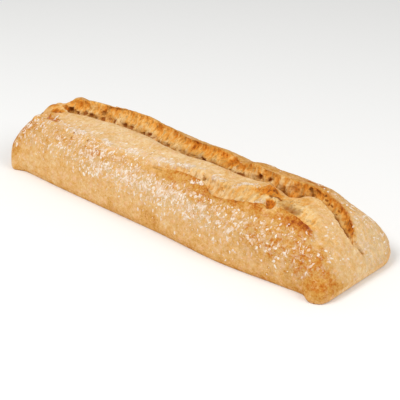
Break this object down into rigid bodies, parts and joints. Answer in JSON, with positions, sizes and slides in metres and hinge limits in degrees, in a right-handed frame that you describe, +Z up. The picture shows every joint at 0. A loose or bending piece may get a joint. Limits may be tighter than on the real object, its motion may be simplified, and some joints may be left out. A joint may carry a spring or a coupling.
{
  "type": "ciabatta loaf",
  "caption": "Long, low, flat-soled bread loaf with a floured crust and one lengthwise slash opened into a raised ear over torn crumb.",
  "frame": {"origin": "under the middle of the loaf's box, on the surface it rests on", "axes": "+X along the loaf to the end where the slash runs out, +Y across it to the side of the raised ear, +Z up"},
  "size_m": [0.3712, 0.1064, 0.0589],
  "materials": {
    "crust": "matt baked crust, dusted with flour"
  },
  "bodies": {
    "root": {"loaf": "crust"}
  },
  "joints": []
}
